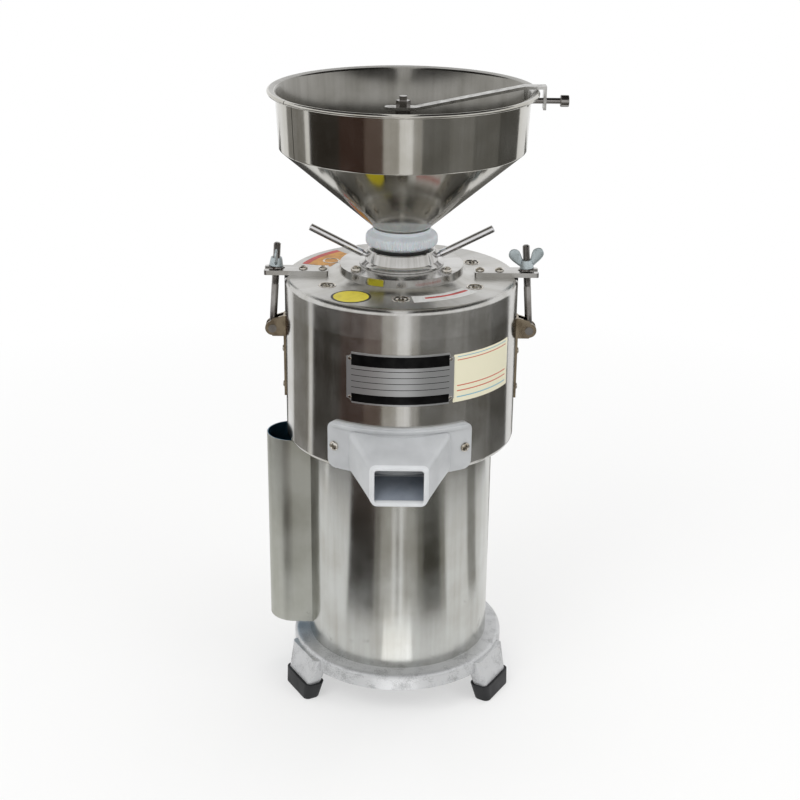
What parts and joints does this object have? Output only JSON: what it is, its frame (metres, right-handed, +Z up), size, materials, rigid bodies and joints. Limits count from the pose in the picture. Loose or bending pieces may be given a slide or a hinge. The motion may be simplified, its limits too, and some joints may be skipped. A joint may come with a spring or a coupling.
{
  "type": "peanut butter machine",
  "caption": "Upright stone mill for nut butter: steel hopper over an adjustable grinding head, clamped lid, front spout, motor shell, side box and a three-legged cast base.",
  "frame": {"origin": "on the mill's vertical axis, in the plane that the three feet stand on", "axes": "+Z up along the mill axis; the discharge spout faces -Y; the side box stands on -X"},
  "size_m": [0.318, 0.3049, 0.681],
  "materials": {
    "cast_aluminium": "rough sand casting",
    "black_rubber": "moulded",
    "brushed_stainless": "brushed sheet",
    "polished_stainless": "polished",
    "turned_steel": "turned",
    "zinc_steel": "bright zinc plated",
    "bronze_steel": "yellow passivated",
    "grey_paint": "grey painted casting",
    "white_nylon": "turned nylon",
    "black_print": "printed aluminium plate",
    "black_plastic": "moulded",
    "red_plastic": "moulded",
    "steel_laminations": "stacked",
    "copper_wire": "varnished",
    "grind_stone": "vitrified abrasive"
  },
  "bodies": {
    "machine": {"base_casting": "cast_aluminium", "rubber_feet": "black_rubber", "motor_shell": "brushed_stainless", "side_box": "brushed_stainless", "capacitor": "black_plastic", "switch_body": "black_plastic", "cable_gland": "black_plastic", "motor_frame": "cast_aluminium", "stator_core": "steel_laminations", "stator_windings": "copper_wire", "lower_end_shield": "cast_aluminium", "upper_end_shield": "cast_aluminium", "motor_bolts": "zinc_steel", "lower_bearing": "turned_steel", "upper_bearing": "turned_steel", "shaft_seal": "black_rubber", "mill_housing": "polished_stainless", "lid_gasket": "black_rubber", "lid": "polished_stainless", "lid_screws": "turned_steel", "adjusting_flange": "turned_steel", "flange_bolts": "zinc_steel", "lock_screw": "turned_steel", "clamp_arm_left": "zinc_steel", "clamp_arm_right": "zinc_steel", "arm_screws": "zinc_steel", "arm_pads": "black_rubber", "clevis_left": "bronze_steel", "clevis_right": "bronze_steel", "clevis_pins": "zinc_steel", "clevis_rivets": "zinc_steel", "discharge_spout": "grey_paint", "spout_screws": "zinc_steel", "data_plate": "black_print", "plate_rivets": "turned_steel"},
    "rotor": {"motor_shaft": "turned_steel", "rotor_core": "steel_laminations", "cooling_fan": "black_plastic", "stone_carrier": "turned_steel", "lower_stone": "grind_stone", "stone_nut": "turned_steel"},
    "collar": {"adjusting_collar": "turned_steel", "handles": "turned_steel", "neck_seal": "black_rubber", "coupling_ring": "white_nylon"},
    "sleeve": {"stone_sleeve": "turned_steel", "upper_stone": "grind_stone"},
    "hopper": {"hopper_cone": "polished_stainless", "hopper_band": "polished_stainless", "cross_strip": "brushed_stainless", "feed_rod": "turned_steel"},
    "thumb_screw": {"thumb_screw": "zinc_steel"},
    "bolt_left": {"swing_bolt_left": "zinc_steel", "washer_left": "zinc_steel"},
    "nut_left": {"wing_nut_left": "zinc_steel"},
    "bolt_right": {"swing_bolt_right": "zinc_steel", "washer_right": "zinc_steel"},
    "nut_right": {"wing_nut_right": "zinc_steel"},
    "rocker": {"switch_rocker": "red_plastic"}
  },
  "joints": [
    {"name": "rotor_spin", "type": "hinge", "parent": "machine", "child": "rotor", "pos_m": [0, 0, 0.2], "axis": [0, 0, 1], "continuous": true},
    {"name": "collar_turn", "type": "hinge", "parent": "machine", "child": "collar", "pos_m": [0, 0, 0.5], "axis": [0, 0, 1], "range_deg": [-60, 270]},
    {"name": "stone_feed", "type": "slide", "parent": "machine", "child": "sleeve", "axis": [0, 0, 1], "range_m": [-0.0003, 0.0015]},
    {"name": "hopper_lift", "type": "slide", "parent": "machine", "child": "hopper", "axis": [0, 0, 1], "range_m": [0, 0.08]},
    {"name": "thumb_screw_spin", "type": "hinge", "parent": "hopper", "child": "thumb_screw", "pos_m": [0.16, 0, 0.6655], "axis": [1, 0, 0], "continuous": true},
    {"name": "bolt_left_swing", "type": "hinge", "parent": "machine", "child": "bolt_left", "pos_m": [-0.1388, 0, 0.418], "axis": [0, -1, 0], "range_deg": [0, 120]},
    {"name": "nut_left_spin", "type": "hinge", "parent": "bolt_left", "child": "nut_left", "pos_m": [-0.1388, 0, 0.418], "axis": [0.0698, 0, 0.9976], "continuous": true},
    {"name": "bolt_right_swing", "type": "hinge", "parent": "machine", "child": "bolt_right", "pos_m": [0.1388, 0, 0.418], "axis": [0, 1, 0], "range_deg": [0, 120]},
    {"name": "nut_right_spin", "type": "hinge", "parent": "bolt_right", "child": "nut_right", "pos_m": [0.1388, 0, 0.418], "axis": [-0.0698, 0, 0.9976], "continuous": true},
    {"name": "rocker_tilt", "type": "hinge", "parent": "machine", "child": "rocker", "pos_m": [-0.1086, 0.0286, 0.215], "axis": [1, 0, 0], "range_deg": [0, 14]}
  ]
}
